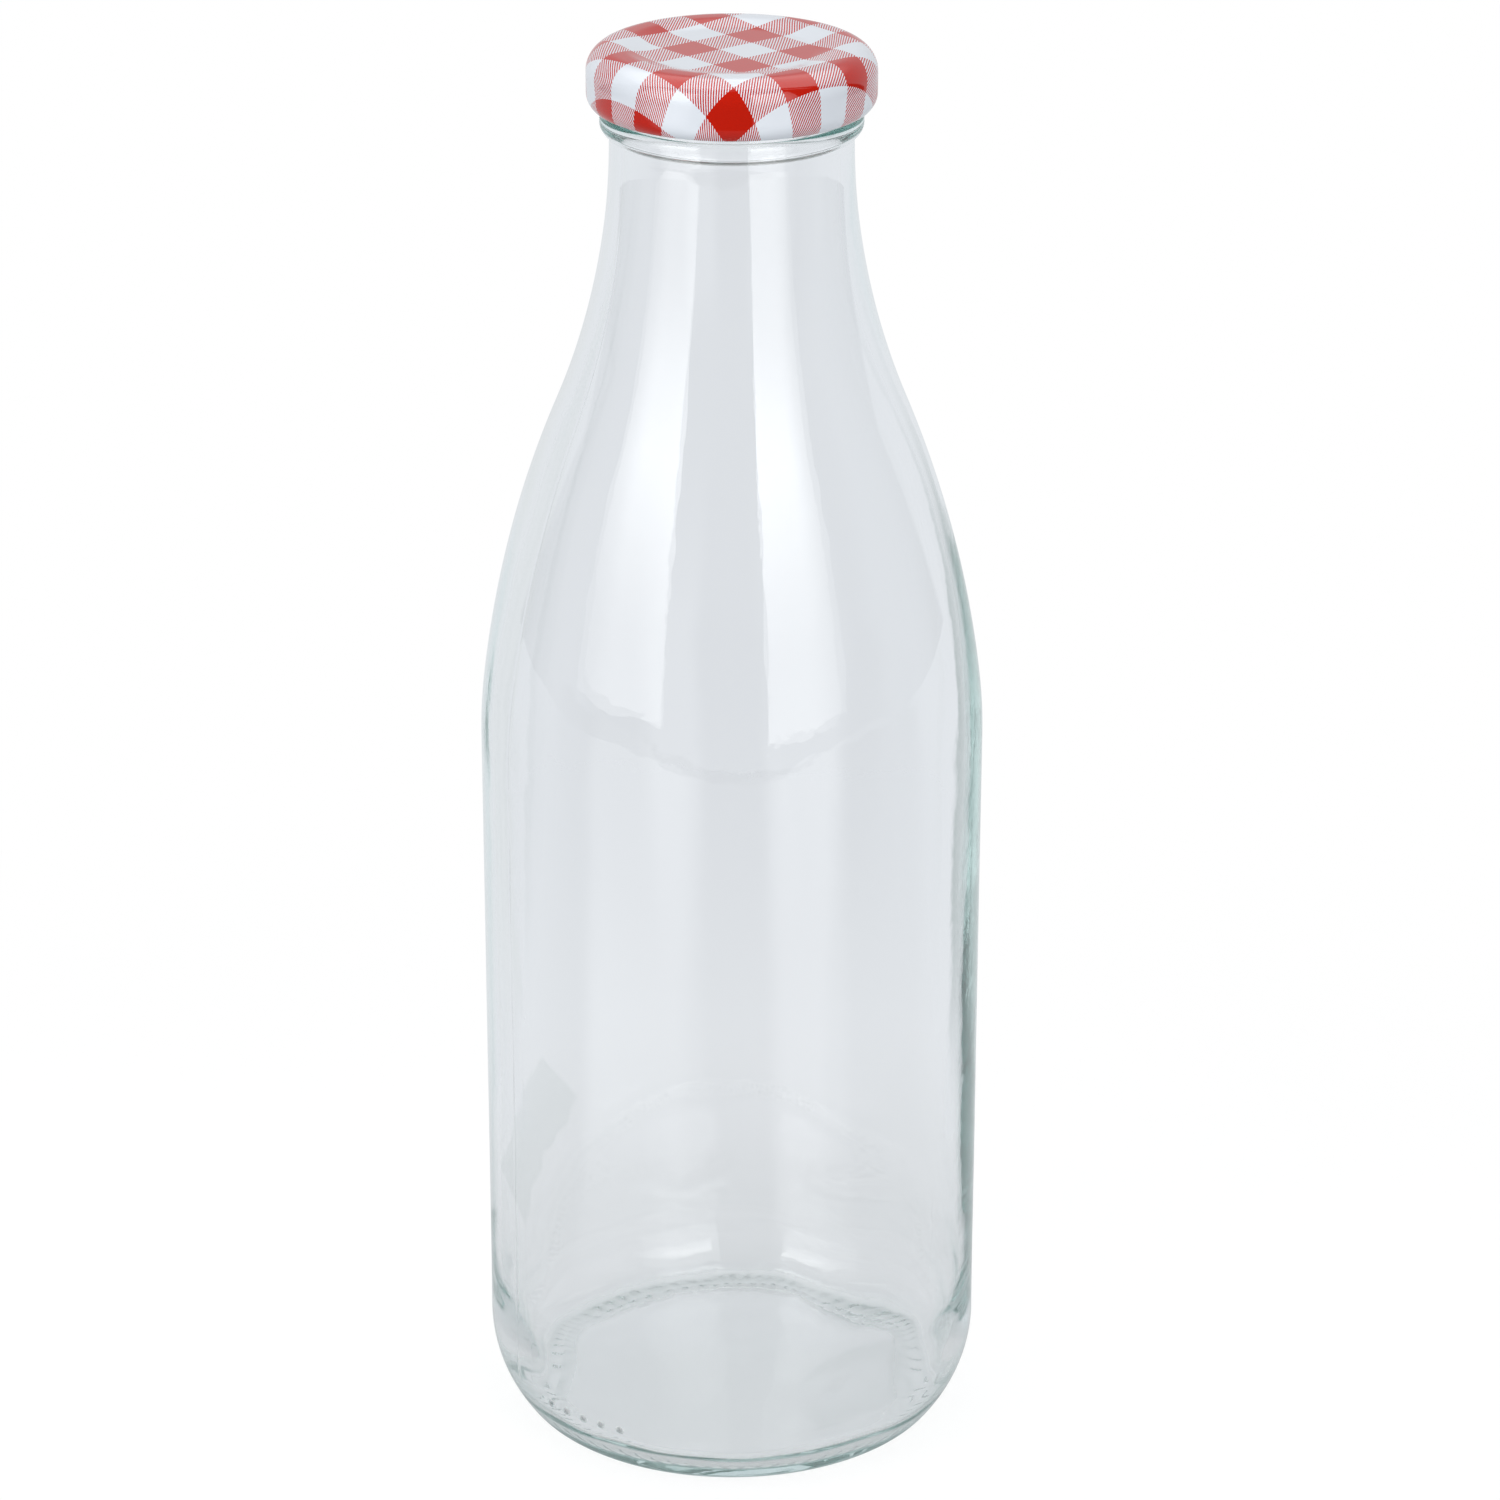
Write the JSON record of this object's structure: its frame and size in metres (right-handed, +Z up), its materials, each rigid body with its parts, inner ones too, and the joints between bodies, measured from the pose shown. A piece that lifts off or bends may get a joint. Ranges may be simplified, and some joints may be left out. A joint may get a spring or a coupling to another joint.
{
  "type": "glass milk bottle",
  "caption": "Clear glass milk bottle with a long sloping shoulder, a beaded neck and a red check twist-off tin lid that unscrews on short threads.",
  "frame": {"origin": "middle of the base ring, on the table", "axes": "+Z up along the bottle's axis; the bottle is round, and -Y is the side that the picture shows"},
  "size_m": [0.09, 0.09, 0.2582],
  "materials": {
    "glass": "clear blown glass with a faint green tint, polished, slightly wavy",
    "printed_tin": "glossy lacquered tinplate printed with a red and white check",
    "seal": "soft off-white sealing compound, satin"
  },
  "bodies": {
    "bottle": {"bottle": "glass"},
    "seal": {"sealing_ring": "seal"},
    "lid": {"lid_shell": "printed_tin"}
  },
  "joints": [
    {"name": "lid_lift", "type": "slide", "parent": "bottle", "child": "seal", "axis": [0, 0, 1], "range_m": [0, 0.014]},
    {"name": "lid_turn", "type": "hinge", "parent": "seal", "child": "lid", "pos_m": [0, 0, 0.253], "axis": [0, 0, 1], "range_deg": [0, 360]}
  ],
  "couplings": [
    {"joint": "lid_lift", "follows": "lid_turn", "m_per_rad": 0.0022282}
  ]
}
